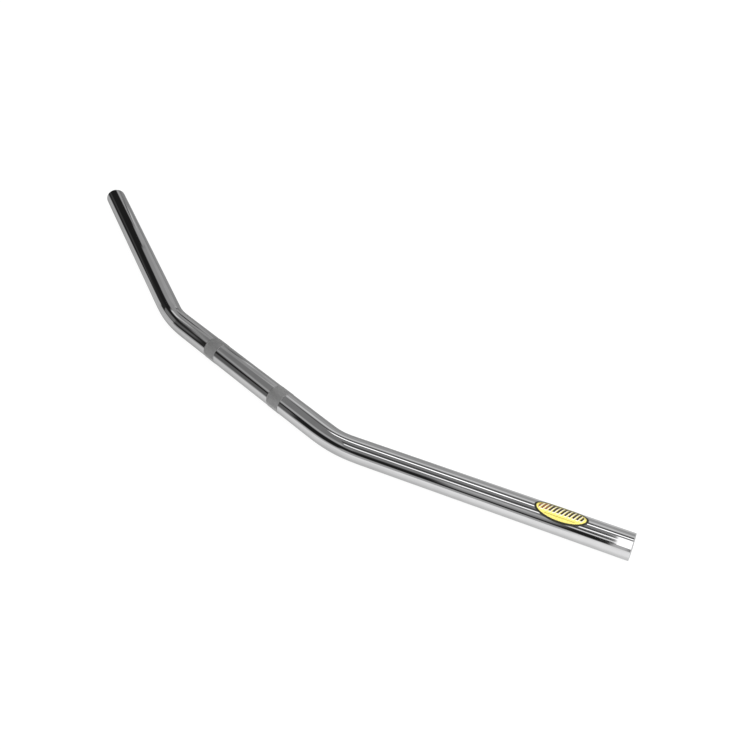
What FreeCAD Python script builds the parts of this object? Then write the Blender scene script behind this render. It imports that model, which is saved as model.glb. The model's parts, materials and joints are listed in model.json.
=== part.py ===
import FreeCAD, Part
import math
import os

from FreeCAD import Vector

# Motorcycle handlebar: a steel tube bent twice in one flat plane, chrome plated, with two
# knurled bands for the riser clamps and an oval label stuck on the left arm.
#
# Frame, in millimetres: the origin is on the tube's axis, midway between the clamp bands.
# +X runs along the clamped centre section to the rider's left, +Y points back to the rider,
# and +Z is up. The tube's centre line lies in the plane Z = 0.

# The bent tube
tube_diameter = 22.2        # 7/8 inch bar
wall_thickness = 2.1
centre_length = 213.5       # straight centre section, from bend to bend
bend_angle = 18.3           # degrees that each arm is pulled back
bend_radius = 125.0         # of the centre line
arm_length = 238.0          # straight arm, from its bend to its open end
outer_end_chamfer = 0.4     # both edges of each cut end are deburred
inner_end_chamfer = 0.5

# The knurled bands, where the crests of the rolled diamonds stand proud of the tube
band_spacing = 99.0         # between the middles of the two bands
band_width = 16.2
crest_height = 0.18

# The oval label
label_length = 43.2         # along the arm
label_width = 18.4          # around the tube
label_thickness = 0.1
label_from_end = 56.8       # from its middle to the open end of the left arm
label_tilt = 8.0            # degrees that its middle is turned from the top towards the rider

tube_radius = tube_diameter / 2
bore_radius = tube_radius - wall_thickness
bend = math.radians(bend_angle)
arm_direction = Vector(math.cos(bend), math.sin(bend), 0)
bend_end = Vector(
    centre_length / 2 + bend_radius * math.sin(bend),
    bend_radius * (1 - math.cos(bend)),
    0,
)
arm_end = bend_end + arm_direction * arm_length
up = Vector(0, 0, 1)


def mirrored(point):
    """The same point on the other side of the bar's middle."""
    return Vector(-point.x, point.y, point.z)


def centre_line():
    """The tube's centre line from the right end to the left: three straights and two arcs."""
    bend_start = Vector(centre_length / 2, 0, 0)
    bend_middle = Vector(
        centre_length / 2 + bend_radius * math.sin(bend / 2),
        bend_radius * (1 - math.cos(bend / 2)),
        0,
    )
    return Part.Wire([
        Part.LineSegment(mirrored(arm_end), mirrored(bend_end)).toShape(),
        Part.Arc(mirrored(bend_end), mirrored(bend_middle), mirrored(bend_start)).toShape(),
        Part.LineSegment(mirrored(bend_start), bend_start).toShape(),
        Part.Arc(bend_start, bend_middle, bend_end).toShape(),
        Part.LineSegment(bend_end, arm_end).toShape(),
    ])


def bent_rod(radius):
    """A round solid swept along the whole centre line."""
    start_direction = mirrored(arm_direction) * -1
    circle = Part.Wire([Part.Circle(mirrored(arm_end), start_direction, radius).toShape()])
    return centre_line().makePipeShell([circle], True, False)


def turned(profile, middle, axis):
    """A solid turned about an axis: profile is a closed outline of (along, radius) points."""
    side = axis.cross(up)
    corners = [middle + axis * along + side * radius for along, radius in profile]
    outline = Part.makePolygon(corners + corners[:1])
    return Part.Face(outline).revolve(middle, axis, 360)


def knurled_band(middle_x):
    """A ring up to the knurl's crests, with 45 degree shoulders down to the tube's surface."""
    half = band_width / 2
    root = (bore_radius + tube_radius) / 2
    crest = tube_radius + crest_height
    profile = [
        (-half, root),
        (-half, tube_radius),
        (crest_height - half, crest),
        (half - crest_height, crest),
        (half, tube_radius),
        (half, root),
    ]
    return turned(profile, Vector(middle_x, 0, 0), Vector(1, 0, 0))


def end_cutters(end, outward):
    """The two rings of material that deburring takes off the edges of one open end."""
    outside = [
        (-outer_end_chamfer, tube_radius),
        (outer_end_chamfer, tube_radius - 2 * outer_end_chamfer),
        (outer_end_chamfer, tube_radius),
    ]
    inside = [
        (-inner_end_chamfer, bore_radius),
        (inner_end_chamfer, bore_radius),
        (inner_end_chamfer, bore_radius + 2 * inner_end_chamfer),
    ]
    return [turned(profile, end, outward) for profile in (outside, inside)]


def handlebar_tube():
    """The whole bent tube, with its clamp bands, its bore and its deburred ends."""
    bands = [knurled_band(side * band_spacing / 2) for side in (-1, 1)]
    tube = bent_rod(tube_radius).cut(bent_rod(bore_radius)).fuse(bands)
    cutters = end_cutters(arm_end, arm_direction)
    cutters += end_cutters(mirrored(arm_end), mirrored(arm_direction))
    return tube.cut(cutters)


def oval_label():
    """A thin film bent round the left arm. Laid flat, its outline is an ellipse."""
    middle = arm_end - arm_direction * label_from_end
    tilt = math.radians(label_tilt)
    rearward = up.cross(arm_direction)
    outward = up * math.cos(tilt) + rearward * math.sin(tilt)
    skin = Part.Cylinder()
    skin.Center = middle
    skin.Axis = arm_direction
    skin.Radius = tube_radius
    angle, along = skin.parameter(middle + outward * tube_radius)
    centre = FreeCAD.Base.Vector2d(angle, along)
    tip = FreeCAD.Base.Vector2d(angle, along + label_length / 2)
    side = FreeCAD.Base.Vector2d(angle + label_width / 2 / tube_radius, along)
    ellipse = Part.Geom2d.Ellipse2d(tip, side, centre)
    outline = Part.Wire([ellipse.toShape(skin)])
    film = Part.Face(skin, outline)
    film.validate()
    return film.makeOffsetShape(label_thickness, 1e-4, fill=True)


os.makedirs("parts", exist_ok=True)
for node, shape in (("handlebar_tube", handlebar_tube()), ("oval_label", oval_label())):
    solid = shape.Solids[0]
    assert solid.isValid() and len(shape.Solids) == 1, node
    solid.exportStep(f"parts/{node}.step")
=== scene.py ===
import json
import math

import bmesh
import bpy
from mathutils import Euler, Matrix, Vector


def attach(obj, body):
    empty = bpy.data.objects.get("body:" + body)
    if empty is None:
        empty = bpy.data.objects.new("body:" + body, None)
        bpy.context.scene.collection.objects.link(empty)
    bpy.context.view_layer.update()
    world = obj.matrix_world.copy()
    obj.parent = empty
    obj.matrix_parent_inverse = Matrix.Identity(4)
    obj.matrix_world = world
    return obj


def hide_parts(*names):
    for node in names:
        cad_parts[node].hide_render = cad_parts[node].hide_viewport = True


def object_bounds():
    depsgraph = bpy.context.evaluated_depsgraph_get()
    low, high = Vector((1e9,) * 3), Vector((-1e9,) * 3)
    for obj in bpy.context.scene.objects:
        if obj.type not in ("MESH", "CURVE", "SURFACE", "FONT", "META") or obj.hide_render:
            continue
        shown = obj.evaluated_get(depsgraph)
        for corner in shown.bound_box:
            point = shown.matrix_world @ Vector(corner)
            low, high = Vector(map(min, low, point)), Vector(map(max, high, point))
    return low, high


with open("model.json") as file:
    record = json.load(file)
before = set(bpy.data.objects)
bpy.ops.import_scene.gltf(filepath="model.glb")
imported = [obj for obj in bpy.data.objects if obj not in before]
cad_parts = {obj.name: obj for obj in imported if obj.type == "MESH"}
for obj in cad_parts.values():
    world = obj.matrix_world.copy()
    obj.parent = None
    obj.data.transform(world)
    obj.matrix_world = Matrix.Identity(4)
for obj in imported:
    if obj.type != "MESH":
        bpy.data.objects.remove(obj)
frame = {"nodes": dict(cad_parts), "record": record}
cad_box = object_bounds()

# A bare motorcycle handlebar: one bent chrome-plated tube with two knurled clamp bands,
# and an oval label on its left arm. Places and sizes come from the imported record's mounts.

MM = 0.001
BODY = "root"
UP = Vector((0, 0, 1))
mounts = {mount["name"]: mount for mount in frame["record"]["mounts"]}


def dimension(mount, name):
    """A dimension of a mount, in metres."""
    return mounts[mount]["dims"][name] * MM


# ---------------------------------------------------------------- sizes from the frame
tube_radius = dimension("grip_left", "r_mm")
bore_radius = dimension("bar_end_left", "r_mm")
crest_radius = dimension("riser_clamp_left", "r_mm")
band_middle = mounts["riser_clamp_left"]["pos_m"][0]
band_width = dimension("riser_clamp_left", "length_mm") + 2 * (crest_radius - tube_radius)
arm_direction = Vector(mounts["grip_left"]["axis"])
arm_inward = UP.cross(arm_direction)            # towards the inside of the bend
bend = math.atan2(arm_direction.y, arm_direction.x)
grip_end = Vector(mounts["grip_left"]["pos_m"])
corner_x = grip_end.x - grip_end.y * arm_direction.x / arm_direction.y
corner = Vector((corner_x, 0, 0))               # where the arm's axis meets the centre's

# ---------------------------------------------------------------- sizes of the shape
edge_round = 0.4 * MM             # the deburred outer edge of each cut end
bore_round = 0.5 * MM             # and its inner edge
arm_reach = (grip_end - corner).length + edge_round
bend_zone = 42 * MM               # rings follow the bend this far from its corner
inner_turn = 24 * MM              # length in which the inside wall of the bend turns
outer_turn = 72 * MM              # and the outside wall, which the bending press flattens
bend_bulge = 0.012                # share by which the flattened section grows in height
turn_steps = 400
bend_rings = 60
ring_spacing = 8 * MM             # on the straight stretches
round_steps = 4
guard = 0.4 * MM                  # a ring this close to a feature keeps the shading true
sharp_angle = 36                  # degrees between faces above which an edge is left sharp
weld_distance = 0.0001 * MM       # points closer than this are one point

knurl_cells_around = 62
knurl_cells_along = 8
cell_samples = 6                  # mesh points along each diagonal of a diamond
groove_depth = 0.19 * MM          # from the crests down to the bottom of the grooves
crest_flat = 0.66                 # the share of a full pyramid that is left standing
around = knurl_cells_around * cell_samples // 3     # mesh points round the plain tube

CHROME, KNURL, STEEL = range(3)   # the tube's material slots


# ---------------------------------------------------------------- the bent tube
def unit_turn():
    """Points of a curve of length 1 that turns by the bend's angle, easing in and out."""
    points = [(0.0, 0.0)]
    for step in range(turn_steps):
        share = (step + 0.5) / turn_steps
        heading = bend * share * share * (3 - 2 * share)
        x, y = points[-1]
        points.append((x + math.cos(heading) / turn_steps, y + math.sin(heading) / turn_steps))
    return points


TURN = unit_turn()


def bend_point(inward, share):
    """A point on the line that the left bend's wall follows at a distance inward of its axis."""
    lean = inward / tube_radius
    length = (inner_turn + outer_turn) / 2 + (inner_turn - outer_turn) / 2 * lean
    cut = length * TURN[-1][1] / math.sin(bend)
    wall_corner = corner + Vector((-inward * math.tan(bend / 2), inward, 0))
    straight = bend_zone - inward * math.tan(bend / 2) - cut
    run = share * (2 * straight + length)
    if run <= straight:
        return Vector((corner_x - bend_zone + run, inward, 0))
    if run >= straight + length:
        return wall_corner + arm_direction * (run - straight - length + cut)
    step = (run - straight) / length * turn_steps
    low = min(int(step), turn_steps - 1)
    part = step - low
    x, y = (a + (b - a) * part for a, b in zip(TURN[low], TURN[low + 1]))
    return wall_corner + Vector((x * length - cut, y * length, 0))


def wall_point(place, inward, height):
    """The point of the bar at a place along it, inward and up from its axis.

    A place is (side, stretch, value): the value is a distance from the middle on the centre
    section, a share of the bend, or a distance from the bend's corner on the arm.
    """
    side, stretch, value = place
    if stretch == "centre":
        point = Vector((value, inward, height))
    elif stretch == "bend":
        swell = 1 + bend_bulge * math.sin(math.pi * value) ** 4
        point = bend_point(inward, value) + UP * height * swell
    else:
        point = corner + arm_direction * value + arm_inward * inward + UP * height
    return Vector((side * point.x, point.y, point.z))


def radii_round(radius):
    """The radius at each point of a ring, from one number or from a list of them."""
    return radius if isinstance(radius, list) else [radius] * around


def ring(place, radius):
    """One ring of points round the bar."""
    radii = radii_round(radius)
    turns = [math.tau * k / len(radii) for k in range(len(radii))]
    return [wall_point(place, r * math.cos(t), r * math.sin(t)) for r, t in zip(radii, turns)]


def spaced(start, end, spacing):
    """Evenly spaced values from start to end, both included."""
    count = max(1, math.ceil((end - start) / spacing))
    return [start + (end - start) * k / count for k in range(count + 1)]


def tooth(value):
    """0 in the groove at each whole number, rising to 1 half way between."""
    return 1 - abs(2 * (value % 1) - 1)


def knurl_radii(row, rows):
    """The radii round one row of the knurl, whose two sets of grooves cross in diamonds."""
    count = knurl_cells_around * cell_samples
    if row in (0, rows):
        return [tube_radius] * count
    radii = []
    for k in range(count):
        level = min(tooth((row + k) / cell_samples), tooth((row - k) / cell_samples))
        radii.append(crest_radius - groove_depth * (1 - min(level / crest_flat, 1)))
    return radii


def band_rings():
    """The rows of one knurled band, from its edge nearer the middle to its outer edge."""
    rows = knurl_cells_along * cell_samples
    start = band_middle - band_width / 2
    return [
        ((1, "centre", start + band_width * row / rows), knurl_radii(row, rows))
        for row in range(rows + 1)
    ]


def straight_places(start, end, stretch):
    return [(1, stretch, value) for value in spaced(start, end, ring_spacing)]


def half_rings(radius, with_band):
    """(place, radius) of each ring from the middle of the bar to the end of its left arm."""
    bend_start = corner_x - bend_zone
    if with_band:
        near, far = band_middle - band_width / 2, band_middle + band_width / 2
        rings = [(place, radius) for place in straight_places(0, near - guard, "centre")]
        rings += [((1, "centre", near), radius), *band_rings(), ((1, "centre", far), radius)]
        rings += [(place, radius) for place in straight_places(far + guard, bend_start, "centre")]
    else:
        rings = [(place, radius) for place in straight_places(0, bend_start, "centre")]
    rings += [((1, "bend", k / bend_rings), radius) for k in range(1, bend_rings)]
    last = arm_reach - (edge_round if with_band else bore_round)
    rings += [(place, radius) for place in straight_places(bend_zone, last - guard, "arm")]
    return rings + [((1, "arm", last), radius)]


def end_rings():
    """The rounded outer edge of a cut end, its flat face and its rounded inner edge."""
    rings = []
    for k in range(1, round_steps + 1):
        turn = math.pi / 2 * k / round_steps
        along = arm_reach - edge_round * (1 - math.sin(turn))
        rings.append(((1, "arm", along), tube_radius - edge_round * (1 - math.cos(turn))))
    for k in range(round_steps):
        turn = math.pi / 2 * k / round_steps
        along = arm_reach - bore_round * (1 - math.cos(turn))
        rings.append(((1, "arm", along), bore_radius + bore_round * (1 - math.sin(turn))))
    return rings


def mirrored(rings):
    """The same rings on the other side of the bar's middle, in the same order."""
    return [((-side, stretch, value), radius) for (side, stretch, value), radius in rings]


def bar_rings():
    """Every ring of the closed skin: the outside from right to left, then the bore back again."""
    outside = half_rings(tube_radius, True)
    inside = half_rings(bore_radius, False)
    ends = end_rings()
    outer_edge, inner_edge = ends[:round_steps], ends[round_steps:]
    rings = mirrored(reversed(outer_edge)) + mirrored(reversed(outside)) + outside[1:] + ends
    return rings + inside[::-1] + mirrored(inside[1:]) + mirrored(reversed(inner_edge))


def strip(first, second, row):
    """Faces between two rings of vertex numbers, whose counts are equal or 3 to 1."""
    n, m = len(first), len(second)
    faces = []
    if n == m and n > around:
        for k in range(n):
            a, b, c, d = first[k], first[(k + 1) % n], second[(k + 1) % n], second[k]
            if (row + k + 1) % cell_samples == 0:
                faces += [(a, b, d), (b, c, d)]
            else:
                faces += [(a, b, c), (a, c, d)]
    elif n == m:
        faces = [(first[k], first[(k + 1) % n], second[(k + 1) % n], second[k]) for k in range(n)]
    elif n < m:
        for k in range(n):
            fan = [second[(3 * k + j) % m] for j in range(4)]
            a, b = first[k], first[(k + 1) % n]
            faces += [(a, fan[1], fan[0]), (a, fan[2], fan[1])]
            faces += [(a, b, fan[2]), (b, fan[3], fan[2])]
    else:
        faces = [tuple(reversed(face)) for face in strip(second, first, row)]
    return faces


def knurl_row(place):
    """Which row of its knurled band a place is on."""
    start = band_middle - band_width / 2
    return round((abs(place[2]) - start) / band_width * knurl_cells_along * cell_samples)


def make_tube():
    """The whole bar as one closed skin, with the knurl's diamonds in its mesh."""
    vertices, faces, slots, grooves = [], [], [], []
    rings = bar_rings()
    numbers = []
    for place, radius in rings:
        points = ring(place, radius)
        numbers.append(list(range(len(vertices), len(vertices) + len(points))))
        vertices += points
        grooves += [(crest_radius - r) / groove_depth for r in radii_round(radius)]
    for k, (place, radius) in enumerate(rings):
        after = (k + 1) % len(rings)
        first, second = numbers[k], numbers[after]
        new = strip(first, second, knurl_row(place))
        in_band = len(first) > around and len(second) > around
        bare = radius == bore_radius and rings[after][1] == bore_radius
        slots += [KNURL if in_band else STEEL if bare else CHROME] * len(new)
        faces += new
    mesh = bpy.data.meshes.new("handlebar_tube")
    mesh.from_pydata(vertices, [], faces)
    mesh.polygons.foreach_set("material_index", slots)
    mesh.attributes.new("groove", "FLOAT", "POINT").data.foreach_set("value", grooves)
    mesh.polygons.foreach_set("use_smooth", [True] * len(faces))
    weld(mesh)
    mesh.set_sharp_from_angle(angle=math.radians(sharp_angle))
    return add_object("chromed_tube", mesh)


def weld(mesh):
    """Joins points in the same place: a band's edge has every third one twice."""
    skin = bmesh.new()
    skin.from_mesh(mesh)
    bmesh.ops.remove_doubles(skin, verts=skin.verts, dist=weld_distance)
    skin.to_mesh(mesh)
    skin.free()


def add_object(name, data):
    made = bpy.data.objects.new(name, data)
    bpy.context.scene.collection.objects.link(made)
    return made


# ---------------------------------------------------------------- the oval label
label_rings = 26
label_points = 120
label_sink = 0.02 * MM            # the film's underside is this far inside the tube's skin
label_soft_edge = 0.992           # share of the oval at which its cut edge starts to fall
label_sharp_angle = 40            # degrees


def label_place():
    """Along the arm from its corner and round the tube: the middle and half size of the label."""
    along, turn, height = [], [], []
    for vertex in frame["nodes"]["oval_label"].data.vertices:
        out = vertex.co - corner
        along.append(out.dot(arm_direction))
        turn.append(math.atan2(out.z, out.dot(arm_inward)))
        height.append(math.hypot(out.z, out.dot(arm_inward)))
    middle = ((min(along) + max(along)) / 2, (min(turn) + max(turn)) / 2)
    half = ((max(along) - min(along)) / 2, (max(turn) - min(turn)) / 2)
    return middle, half, max(height)


def make_label():
    """A closed film in the shape of an oval bent round the arm."""
    (mid_along, mid_turn), (half_along, half_turn), top = label_place()
    vertices, faces, flat = [], [], []

    def add(share, angle, radius):
        along = half_along * share * math.cos(angle)
        turn = half_turn * share * math.sin(angle)
        place = (1, "arm", mid_along + along)
        section = mid_turn + turn
        vertices.append(wall_point(place, radius * math.cos(section), radius * math.sin(section)))
        flat.append((along / half_along, -turn * tube_radius / half_along))

    def add_ring(share, radius):
        for k in range(label_points):
            add(share, math.tau * k / label_points, radius)

    shares = [k / label_rings * label_soft_edge for k in range(1, label_rings + 1)]
    below = tube_radius - label_sink
    add(0, 0, top)
    for share in shares:
        add_ring(share, top)
    add_ring(1, (top + tube_radius) / 2)
    for share in reversed(shares):
        add_ring(share, below)
    add(0, 0, below)
    rings = 2 * len(shares) + 1
    last = len(vertices) - 1
    for k in range(label_points):
        after = (k + 1) % label_points
        faces.append((0, 1 + after, 1 + k))
        for r in range(rings - 1):
            a, b = 1 + r * label_points, 1 + (r + 1) * label_points
            faces.append((a + k, a + after, b + after, b + k))
        end = 1 + (rings - 1) * label_points
        faces.append((end + k, end + after, last))
    mesh = bpy.data.meshes.new("oval_label")
    mesh.from_pydata(vertices, [], faces)
    plan = mesh.uv_layers.new(name="label_plan")
    for loop in mesh.loops:
        x, y = flat[loop.vertex_index]
        plan.data[loop.index].uv = (0.5 + x / 2, 0.5 + y / 2)
    mesh.polygons.foreach_set("use_smooth", [True] * len(faces))
    mesh.set_sharp_from_angle(angle=math.radians(label_sharp_angle))
    return add_object("oval_label_film", mesh), half_along, half_turn * tube_radius


# ---------------------------------------------------------------- node helpers
def set_input(tree, socket, value):
    """Links a socket or sets a constant."""
    if isinstance(value, bpy.types.NodeSocket):
        tree.links.new(value, socket)
    elif value is not None:
        socket.default_value = value


def calc(tree, operation, a, b=None):
    node = tree.nodes.new("ShaderNodeMath")
    node.operation = operation
    for socket, value in zip(node.inputs, (a, b)):
        set_input(tree, socket, value)
    return node.outputs[0]


def dot(tree, vector, constant):
    node = tree.nodes.new("ShaderNodeVectorMath")
    node.operation = "DOT_PRODUCT"
    tree.links.new(vector, node.inputs[0])
    node.inputs[1].default_value = constant
    return node.outputs["Value"]


def ramp(tree, value, start, end, low=0.0, high=1.0, smooth=True):
    """low before start, high after end."""
    node = tree.nodes.new("ShaderNodeMapRange")
    node.interpolation_type = "SMOOTHSTEP" if smooth else "LINEAR"
    limits = {"From Min": start, "From Max": end, "To Min": low, "To Max": high}
    for name, number in limits.items():
        node.inputs[name].default_value = number
    set_input(tree, node.inputs["Value"], value)
    return node.outputs["Result"]


def mix_value(tree, mask, a, b):
    node = tree.nodes.new("ShaderNodeMix")
    node.data_type = "FLOAT"
    set_input(tree, node.inputs[0], mask)
    set_input(tree, node.inputs[2], a)
    set_input(tree, node.inputs[3], b)
    return node.outputs[0]


def mix_colour(tree, mask, a, b):
    node = tree.nodes.new("ShaderNodeMix")
    node.data_type = "RGBA"
    set_input(tree, node.inputs[0], mask)
    for socket, colour in ((node.inputs[6], a), (node.inputs[7], b)):
        set_input(tree, socket, (*colour, 1) if isinstance(colour, tuple) else colour)
    return node.outputs[2]


def noise(tree, vector, scale, detail, rough):
    node = tree.nodes.new("ShaderNodeTexNoise")
    tree.links.new(vector, node.inputs["Vector"])
    node.inputs["Scale"].default_value = scale
    node.inputs["Detail"].default_value = detail
    node.inputs["Roughness"].default_value = rough
    return node.outputs[0]


def stretched(tree, vector, scale):
    node = tree.nodes.new("ShaderNodeMapping")
    tree.links.new(vector, node.inputs["Vector"])
    node.inputs["Scale"].default_value = scale
    return node.outputs[0]


def new_material(name):
    material = bpy.data.materials.new(name)
    material.use_nodes = True
    tree = material.node_tree
    shader = tree.nodes["Principled BSDF"]
    place = tree.nodes.new("ShaderNodeTexCoord").outputs["Object"]
    return material, tree, shader, place


def bump(tree, shader, height, distance):
    node = tree.nodes.new("ShaderNodeBump")
    node.inputs["Strength"].default_value = 1.0
    node.inputs["Distance"].default_value = distance
    tree.links.new(height, node.inputs["Height"])
    tree.links.new(node.outputs[0], shader.inputs["Normal"])


# ---------------------------------------------------------------- materials
# Scales of noise are in cycles per metre, and a stretched one has a scale along X, Y and Z.
hazy_plate, clear_plate = (0.605, 0.605, 0.61), (0.645, 0.645, 0.65)
# the groove colour is painted shade: the knurl is tinted darker down in its grooves
knurl_crest, shaded_groove_tint = (0.60, 0.60, 0.605), (0.42, 0.42, 0.415)
clean_steel, oxide = (0.34, 0.33, 0.32), (0.20, 0.17, 0.14)
polishing_marks = (60, 1400, 1400)
drawing_marks = (30, 900, 900)


def chrome():
    """Polished chrome plate: faint haze, hairline polishing marks and a slight waviness."""
    material, tree, shader, place = new_material("polished_chrome")
    haze = noise(tree, place, scale=38, detail=3, rough=0.55)
    hairs = noise(tree, stretched(tree, place, polishing_marks), scale=1.0, detail=2, rough=0.6)
    shader.inputs["Metallic"].default_value = 1.0
    tint = mix_colour(tree, ramp(tree, haze, 0.35, 0.65), hazy_plate, clear_plate)
    tree.links.new(tint, shader.inputs["Base Color"])
    haze_rough = ramp(tree, haze, 0.3, 0.7, low=0.02, high=0.045)
    hair_rough = ramp(tree, hairs, 0.5, 0.8, low=0, high=0.02)
    tree.links.new(calc(tree, "ADD", haze_rough, hair_rough), shader.inputs["Roughness"])
    waves = noise(tree, place, scale=22, detail=2, rough=0.4)
    bump(tree, shader, waves, distance=0.03 * MM)
    return material


def knurl_chrome():
    """Chrome over the rolled diamonds: duller, and darker down in the grooves, which is painted
    shade.
    """
    material, tree, shader, place = new_material("knurled_chrome")
    attribute = tree.nodes.new("ShaderNodeAttribute")
    attribute.attribute_name = "groove"
    grain = noise(tree, place, scale=900, detail=3, rough=0.6)
    unevenness = ramp(tree, grain, 0.3, 0.7, low=-0.15, high=0.15)
    depth = calc(tree, "ADD", attribute.outputs["Fac"], unevenness)
    shader.inputs["Metallic"].default_value = 1.0
    # painted shade: the colour darkens towards the bottom of each groove
    tint = mix_colour(tree, ramp(tree, depth, 0.1, 1.0), knurl_crest, shaded_groove_tint)
    tree.links.new(tint, shader.inputs["Base Color"])
    rough = ramp(tree, depth, 0.0, 1.0, low=0.34, high=0.46)
    tree.links.new(rough, shader.inputs["Roughness"])
    bump(tree, shader, grain, distance=0.012 * MM)
    return material


def bare_steel():
    """The unplated inside of the tube: dull grey steel with drawing marks and oxide."""
    material, tree, shader, place = new_material("bare_steel")
    blotches = noise(tree, place, scale=120, detail=4, rough=0.6)
    lines = noise(tree, stretched(tree, place, drawing_marks), scale=1.0, detail=2, rough=0.5)
    shader.inputs["Metallic"].default_value = 1.0
    tint = mix_colour(tree, ramp(tree, blotches, 0.35, 0.7), clean_steel, oxide)
    tree.links.new(tint, shader.inputs["Base Color"])
    tree.links.new(ramp(tree, lines, 0.3, 0.7, low=0.38, high=0.6), shader.inputs["Roughness"])
    bump(tree, shader, lines, distance=0.02 * MM)
    return material


# The label's print, in millimetres on the flat film: x along it towards the bar's open end, y
# across it towards the rider
rim_width = 1.8
field_margin_x, field_margin_y = 3.0, 2.2     # the bars stay this far inside the film's edge
bar_pitch = 3.1
bar_lean = 0.45                   # millimetres along for each one across
bar_rows = (-1.7, 5.8)
bar_start, bar_soft = 0.1, 0.07   # shares of the pitch
ink_share, pale_share = 0.50, 0.55
pale_shift, pale_drop = 0.6, 1.1  # a bar's pale twin lies this far along and from the rider
rule_rows, rule_ends = (-4.8, -4.4), (-12, 12)
accent_from, accent_to = -9.0, -11.0
shade_from, shade_to = -0.5, 5.5    # the ground darkens over this stretch towards the rider: painted shade where the film curves round the tube
ground, ground_light, ground_painted_shade = (0.76, 0.64, 0.13), (0.82, 0.71, 0.19), (0.25, 0.22, 0.03)
ink, ink_accent = (0.03, 0.02, 0.01), (0.22, 0.08, 0.03)
pale_ink, rule_ink, rim_ink = (0.74, 0.70, 0.56), (0.42, 0.36, 0.06), (0.012, 0.011, 0.003)


def label_print(half_length, half_width):
    """Glossy printed film: a black rim round yellow, a row of slanted bars and a thin rule."""
    material, tree, shader, place = new_material("printed_label")
    plan = tree.nodes.new("ShaderNodeUVMap")
    plan.uv_map = "label_plan"
    split = tree.nodes.new("ShaderNodeSeparateXYZ")
    tree.links.new(plan.outputs[0], split.inputs[0])
    size = 2 * half_length / MM
    x = calc(tree, "MULTIPLY", calc(tree, "SUBTRACT", split.outputs[0], 0.5), size)
    y = calc(tree, "MULTIPLY", calc(tree, "SUBTRACT", split.outputs[1], 0.5), size)

    def oval(margin_x, margin_y):
        """Below 1 inside an oval that keeps these margins from the film's edge."""
        squares = []
        for value, half, margin in ((x, half_length, margin_x), (y, half_width, margin_y)):
            share = calc(tree, "DIVIDE", value, half / MM - margin)
            squares.append(calc(tree, "POWER", calc(tree, "ABSOLUTE", share), 2.0))
        return calc(tree, "ADD", *squares)

    def between(value, limits, soft):
        """1 between two limits, falling off over a soft width outside each."""
        low, high = limits
        return calc(
            tree, "MULTIPLY",
            ramp(tree, value, low - soft, low), ramp(tree, value, high + soft, high),
        )

    def slanted_bars(shift, drop, share):
        """Slanted bars in a row, shifted along and dropped away from the rider."""
        whole = 20 * bar_pitch    # keeps the sum above 0 all over the film
        lean = calc(tree, "ADD", calc(tree, "MULTIPLY", y, -bar_lean), whole - shift)
        step = calc(tree, "FRACT", calc(tree, "DIVIDE", calc(tree, "ADD", x, lean), bar_pitch))
        rows = between(y, [limit - drop for limit in bar_rows], 0.3)
        bars = between(step, (bar_start, bar_start + share), bar_soft)
        return calc(tree, "MULTIPLY", calc(tree, "MULTIPLY", bars, rows), field)

    rim = ramp(tree, oval(rim_width, rim_width), 0.97, 1.03)
    field = ramp(tree, oval(field_margin_x, field_margin_y), 1.0, 0.92)
    bars = slanted_bars(0, 0, ink_share)
    pale_bars = slanted_bars(pale_shift, pale_drop, pale_share)
    rule = calc(tree, "MULTIPLY", between(y, rule_rows, 0.2), between(x, rule_ends, 0.5))
    speckle = noise(tree, place, scale=2600, detail=2, rough=0.6)
    colour = mix_colour(tree, ramp(tree, speckle, 0.3, 0.7), ground, ground_light)
    # painted shade: the yellow darkens across the film towards the rider
    colour = mix_colour(tree, ramp(tree, y, shade_from, shade_to), colour, ground_painted_shade)
    bar_ink = mix_colour(tree, ramp(tree, x, accent_from, accent_to), ink, ink_accent)
    colour = mix_colour(tree, rule, colour, rule_ink)
    colour = mix_colour(tree, pale_bars, colour, pale_ink)
    colour = mix_colour(tree, bars, colour, bar_ink)
    colour = mix_colour(tree, rim, colour, rim_ink)
    tree.links.new(colour, shader.inputs["Base Color"])
    tree.links.new(ramp(tree, speckle, 0.3, 0.7, low=0.3, high=0.42), shader.inputs["Roughness"])
    shader.inputs["Coat Weight"].default_value = 0.15
    shader.inputs["Coat Roughness"].default_value = 0.12
    bump(tree, shader, noise(tree, place, scale=500, detail=2, rough=0.5), distance=0.01 * MM)
    return material


# ---------------------------------------------------------------- the studio
def compass(azimuth):
    """A level direction, in degrees from +X towards +Y."""
    turn = math.radians(azimuth)
    return Vector((math.cos(turn), math.sin(turn), 0))


def sight(turn, along, climb):
    """A direction with cosine -along to a compass turn, climbing from the front over the top."""
    level, up = math.cos(math.radians(climb)), math.sin(math.radians(climb))
    across = math.sqrt(1 - along * along)
    return compass(turn) * -along + compass(turn - 90) * (across * level) + UP * (across * up)


def card_edges(turn, near_end, far_end):
    """The sides of a card that lies along a compass turn, as (normal, least dot product) pairs.

    Each end is (cosine to the turn, lowest climb, highest climb), the climb in degrees from the
    front horizon (0) over the top (90) to the rear horizon (180).
    """
    (near, near_low, near_high), (far, far_low, far_high) = near_end, far_end
    low = sight(turn, near, near_low).cross(sight(turn, far, far_low)).normalized()
    high = sight(turn, near, near_high).cross(sight(turn, far, far_high)).normalized()
    axis = compass(turn)
    # this third side keeps a narrow card from showing again on the opposite side of the sky
    middle = sight(turn, 0, (near_low + near_high + far_low + far_high) / 4)
    return [(-low, 0), (high, 0), (middle, 0)], [(-axis, near), (axis, -far)]


arm_turn = math.degrees(bend)
room_dark = 0.018
cove_light = 0.53                 # the lit foot of the walls all round
cove_low, cove_top = -3, 12       # degrees between which it fades
backdrop_seen = 1.0               # what the camera itself sees behind the bar

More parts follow.
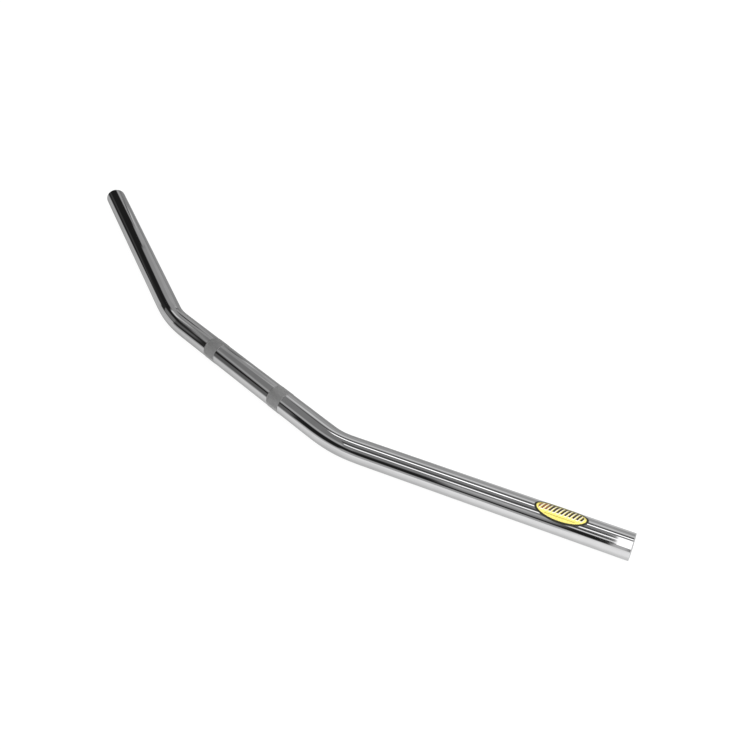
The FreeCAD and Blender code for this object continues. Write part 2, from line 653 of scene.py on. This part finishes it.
# Each card is (name, turn, near end, far end, softness, light) and is laid over those before it.
# The softness is that of the long sides, in degrees, and that of the ends, as a cosine. The light
# is a number, or a pair: at the low side, at the high. The name only labels the card's node.
studio_cards = [
    # over the middle
    ("left_grey", 0, (0.575, 4, 36), (0.68, 4, 41), (5, 0.012), 0.15),
    ("left_grey_box", 0, (0.692, 30, 50), (0.76, 30, 52), (14, 0.012), 0.15),
    ("left_corner_box", 0, (0.75, 28, 54), (0.92, 50, 76), (12, 0.02), 0.34),
    ("middle_foot", 0, (0.2, -40, 6), (0.57, -40, 5), (20, 0.02), 0.92),
    ("left_foot", 0, (0.57, -40, 2), (0.72, -40, 2), (18, 0.02), 0.72),
    ("ceiling", 0, (0.15, 38, 220), (0.605, 50.5, 220), (5, 0.008), 0.26),
    ("ceiling_left", 0, (0.602, 54, 220), (0.715, 82.5, 220), (5, 0.008), 0.26),
    ("ceiling_corner", 0, (0.714, 82, 220), (0.80, 99, 220), (5, 0.008), 0.26),
    ("ceiling_front", 0, (0.15, 38, 53), (0.605, 51, 66), (8, 0.008), 0.54),
    ("ceiling_front_left", 0, (0.602, 54, 68), (0.715, 82.5, 95), (8, 0.008), 0.54),
    ("ceiling_corner_front", 0, (0.712, 82, 94), (0.80, 99, 112), (8, 0.01), 0.62),
    ("ceiling_rear", 0, (0.15, 126, 230), (0.80, 130, 230), (14, 0.02), 0.47),
    ("ceiling_rear_glow", 0, (0.15, 128, 148), (0.66, 128, 148), (14, 0.1), 0.62),
    ("rear_shade", 0, (0.44, 172, 205), (0.78, 172, 205), (22, 0.02), 0.34),
    # beyond the right arm
    ("far_dark", -arm_turn, (0.79, 20, 240), (0.95, 20, 240), (8, 0.006), 0.018),
    ("far_foot", -arm_turn, (0.76, -40, 20), (0.87, -40, 3), (8, 0.02), 0.66),
    ("far_wall", -arm_turn, (0.76, 90, 220), (0.824, 105, 220), (4, 0.005), 0.40),
    ("far_wall_step", -arm_turn, (0.824, 120, 220), (0.8385, 124, 220), (4, 0.005), 0.46),
    ("far_wall_end", -arm_turn, (0.8385, 131, 220), (0.95, 131, 220), (7, 0.005), 0.46),
    ("far_wall_shade", -arm_turn, (0.84, 158, 194), (0.88, 157, 195), (14, 0.02), 0.24),
    ("far_dim_box", -arm_turn, (0.775, 36, 51), (0.95, 34, 50), (7, 0.02), 0.062),
    # round the bend of the right arm
    ("bend_foot", -arm_turn / 2, (0.655, -40, 12), (0.86, -40, 12), (12, 0.02), 0.70),
    ("bend_box", -arm_turn / 2, (0.66, 18, 46), (0.80, 22, 55), (10, 0.012), 0.22),
    ("bend_dark", -arm_turn / 2, (0.765, 57, 105), (0.85, 57, 105), (7, 0.01), 0.018),
    ("bend_dark_low", -arm_turn / 2, (0.803, 26, 66), (0.87, 26, 66), (7, 0.012), 0.03),
    ("bend_line", -arm_turn / 2, (0.655, 51, 67), (0.70, 60, 75), (7, 0.01), 0.018),
    ("bend_line_b", -arm_turn / 2, (0.695, 61, 75.5), (0.77, 61, 92), (5, 0.01), 0.018),
    ("bend_glint", -arm_turn / 2, (0.705, 78, 86), (0.756, 86, 98), (6, 0.012), 1.1),
    # over the left arm
    ("front_foot", arm_turn, (-0.2, -40, 13), (0.50, -40, 17.5), (9, 0.05), 0.50),
    ("front_panel", arm_turn, (-0.1, 43, 66), (0.45, 43, 66), (12, 0.03), 0.29),
    ("front_grey", arm_turn, (0.11, 26, 54), (0.256, 28, 54), (10, 0.04), (0.22, 0.70)),
    ("lamp_panel", arm_turn, (-0.1, 56, 134), (0.43, 56, 134), (4, 0.02), 0.27),
    ("end_strip", arm_turn, (-0.1, 46, 53), (0.10, 45, 51), (3, 0.02), 1.1),
    ("end_strip_dark", arm_turn, (-0.1, 56, 66), (0.11, 55, 63), (4, 0.02), 0.05),
    ("lamp_front_dark", arm_turn, (-0.1, 88, 95), (0.17, 77, 88), (3, 0.005), 0.08),
    ("lamp_front_dark_b", arm_turn, (0.17, 77, 88), (0.43, 76, 88), (3, 0.01), 0.08),
    ("lamp_front", arm_turn, (-0.1, 80, 86), (0.17, 66, 72), (2, 0.005), 1.9),
    ("lamp_front_b", arm_turn, (0.17, 66, 72), (0.43, 65.5, 71.5), (2, 0.01), 1.9),
    ("lamp_rear", arm_turn, (-0.1, 117, 123), (0.17, 109.5, 115.5), (2, 0.005), 2.4),
    ("lamp_rear_b", arm_turn, (0.17, 109.3, 115.7), (0.43, 112, 118), (2, 0.01), 2.6),
    ("rear_gap", arm_turn, (-0.1, 122, 132), (0.43, 123, 133), (4, 0.01), 0.13),
    ("rear_strip", arm_turn, (-0.2, 136, 230), (0.37, 136, 230), (8, 0.02), 0.47),
    ("rear_strip_glow", arm_turn, (-0.2, 138, 151), (0.37, 138, 151), (8, 0.02), 0.85),
    # past the left arm's end
    ("end_foot", arm_turn, (-0.5, 0, 34), (0.047, 0, 34), (4, 0.008), 0.64),
    ("end_foot_low", arm_turn, (-0.5, -30, 10), (0.10, -30, 11), (6, 0.05), 1.08),
    ("end_box", arm_turn, (-0.5, 36, 101), (0.042, 36, 101), (5, 0.004), 1.9),
    ("end_corner", arm_turn, (-0.5, 14, 34), (0.026, 14, 34), (8, 0.004), 0.25),
    ("side_box", arm_turn, (-0.99, 4, 176), (-0.16, 4, 176), (10, 0.1), 0.9),
]


def add_card(tree, direction, below, card):
    """Lays one card over what is behind it."""
    name, turn, near_end, far_end, (side_softness, end_softness), light = card
    softness = (math.radians(side_softness), end_softness)
    mask = None
    for edges, soft in zip(card_edges(turn, near_end, far_end), softness):
        for normal, least in edges:
            side = ramp(tree, dot(tree, direction, normal), least - soft / 2, least + soft / 2)
            mask = side if mask is None else calc(tree, "MULTIPLY", mask, side)
    if isinstance(light, tuple):
        low = card_edges(turn, near_end, far_end)[0][0][0]
        width = math.radians(near_end[2] - near_end[1])
        light = ramp(tree, dot(tree, direction, low), 0, math.sin(width), *light, smooth=False)
    laid = mix_value(tree, mask, below, light)
    laid.node.label = name
    return laid


def make_world():
    """Soft studio surroundings: dark room, pale coves, a grey ceiling and lamps overhead."""
    world = bpy.data.worlds.new("studio")
    bpy.context.scene.world = world
    world.use_nodes = True
    tree = world.node_tree
    direction = tree.nodes.new("ShaderNodeTexCoord").outputs["Generated"]
    height = dot(tree, direction, UP)
    low, top = (math.sin(math.radians(elevation)) for elevation in (cove_low, cove_top))
    light = ramp(tree, height, low, top, cove_light, room_dark)
    for card in studio_cards:
        light = add_card(tree, direction, light, card)
    for_camera = tree.nodes.new("ShaderNodeLightPath").outputs["Is Camera Ray"]
    light = mix_value(tree, for_camera, light, backdrop_seen)
    background = tree.nodes["Background"]
    tree.links.new(light, background.inputs["Color"])


floor_half = 6.0
floor_grey = 0.12
floor_left, floor_right = 0.93, 0.33     # the glow of the table beside the left and the right arm
floor_behind = (0.55, 0.34, 0.62)        # its share behind the right arm, the middle, the left arm: painted shade on the table behind the bar
floor_shade = 0.66                # and the share left close beside it, where the bar shades it
ahead_start, ahead_end = 30 * MM, 110 * MM    # in front of the bar the glow rises over this stretch
ahead_rise = 1.3                  # to this share
floor_most = 0.97                 # the glow is never more than this
floor_seen = 0.93                 # and this is what the camera itself sees of it
arm_behind = 0.7                  # share of the bar's reach by which it counts as behind the arm


def make_floor():
    """A pale lit table under the bar, brighter towards the bar's left end, with painted shade close
    beside the bar and behind it.
    """
    low = cad_box[0].z
    mesh = bpy.data.meshes.new("floor")
    signs = ((-1, -1), (1, -1), (1, 1), (-1, 1))
    mesh.from_pydata([(x * floor_half, y * floor_half, low) for x, y in signs], [], [(0, 1, 2, 3)])
    floor = add_object("floor", mesh)
    material = bpy.data.materials.new("pale_table")
    material.use_nodes = True
    tree = material.node_tree
    shader = tree.nodes["Principled BSDF"]
    place = tree.nodes.new("ShaderNodeTexCoord").outputs["Object"]
    along = dot(tree, place, (1, 0, 0))
    reach = cad_box[1].x
    glow = ramp(tree, along, -reach, reach, floor_right, floor_left, smooth=False)
    past_corner = calc(tree, "SUBTRACT", calc(tree, "ABSOLUTE", along), corner_x)
    past_corner = calc(tree, "MAXIMUM", past_corner, 0.0)
    bar_line = calc(tree, "MULTIPLY", past_corner, math.tan(bend))
    across = calc(tree, "SUBTRACT", dot(tree, place, (0, 1, 0)), bar_line)
    # painted shade: the table's glow is cut behind the bar
    behind = ramp(tree, along, -reach * arm_behind, -corner_x, *floor_behind[:2])
    behind_left = ramp(tree, along, corner_x, reach * arm_behind, *floor_behind[1:])
    behind = calc(tree, "MAXIMUM", behind, behind_left)
    shade = ramp(tree, across, -3 * tube_radius, -tube_radius, 1.0, floor_shade)
    ahead = ramp(tree, across, -ahead_end, -ahead_start, ahead_rise, 1.0, smooth=False)
    share = mix_value(tree, ramp(tree, across, 0, 2 * tube_radius), shade, behind)
    glow = calc(tree, "MULTIPLY", calc(tree, "MULTIPLY", glow, ahead), share)
    glow = calc(tree, "MINIMUM", glow, floor_most)
    for_camera = tree.nodes.new("ShaderNodeLightPath").outputs["Is Camera Ray"]
    strength = mix_value(tree, for_camera, glow, floor_seen)
    shader.inputs["Base Color"].default_value = (floor_grey, floor_grey, floor_grey, 1)
    shader.inputs["Roughness"].default_value = 1.0
    shader.inputs["Specular IOR Level"].default_value = 0.0
    shader.inputs["Emission Color"].default_value = (1, 1, 1, 1)
    tree.links.new(strength, shader.inputs["Emission Strength"])
    from_below = tree.nodes.new("ShaderNodeNewGeometry").outputs["Backfacing"]
    see_through = tree.nodes.new("ShaderNodeMixShader")
    tree.links.new(from_below, see_through.inputs[0])
    tree.links.new(shader.outputs[0], see_through.inputs[1])
    tree.links.new(tree.nodes.new("ShaderNodeBsdfTransparent").outputs[0], see_through.inputs[2])
    tree.links.new(see_through.outputs[0], tree.nodes["Material Output"].inputs["Surface"])
    mesh.materials.append(material)


lamp_size = (1.2, 0.9)
lamp_power = 26
lamp_place = Vector((1.15, 0.25, 1.25))
lamp_aim = Vector((0.1, 0, 0))


def make_lights():
    """One soft lamp, high up past the bar's left end."""
    lamp = bpy.data.lights.new("soft_key", "AREA")
    lamp.shape = "RECTANGLE"
    lamp.size, lamp.size_y = lamp_size
    lamp.energy = lamp_power
    key = add_object("soft_key", lamp)
    key.location = lamp_place
    aim = lamp_aim - lamp_place
    key.rotation_euler = aim.to_track_quat("-Z", "Y").to_euler()
    key.visible_glossy = False        # the chrome mirrors the studio's cards instead


sensor_width, lens = 36, 37.844   # millimetres
camera_near = 0.01                # metres
camera_place = (0.49052, -0.23192, 0.54828)
camera_angles = (42.187, 6.034, 45.191)      # degrees about X, Y and Z


def make_camera():
    """The photograph's view: its place, angles and lens were fitted to the bar's outline."""
    data = bpy.data.cameras.new("camera")
    data.sensor_width = sensor_width
    data.lens = lens
    data.clip_start = camera_near
    camera = add_object("camera", data)
    camera.location = camera_place
    camera.rotation_euler = Euler([math.radians(angle) for angle in camera_angles])
    bpy.context.scene.camera = camera


# ---------------------------------------------------------------- the scene
tube = make_tube()
for material in (chrome(), knurl_chrome(), bare_steel()):
    tube.data.materials.append(material)
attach(tube, BODY)
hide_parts("handlebar_tube")

label, label_half_length, label_half_width = make_label()
label.data.materials.append(label_print(label_half_length, label_half_width))
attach(label, BODY)
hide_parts("oval_label")

make_floor()
make_lights()
make_world()
make_camera()
bpy.context.scene.view_settings.view_transform = "Standard"
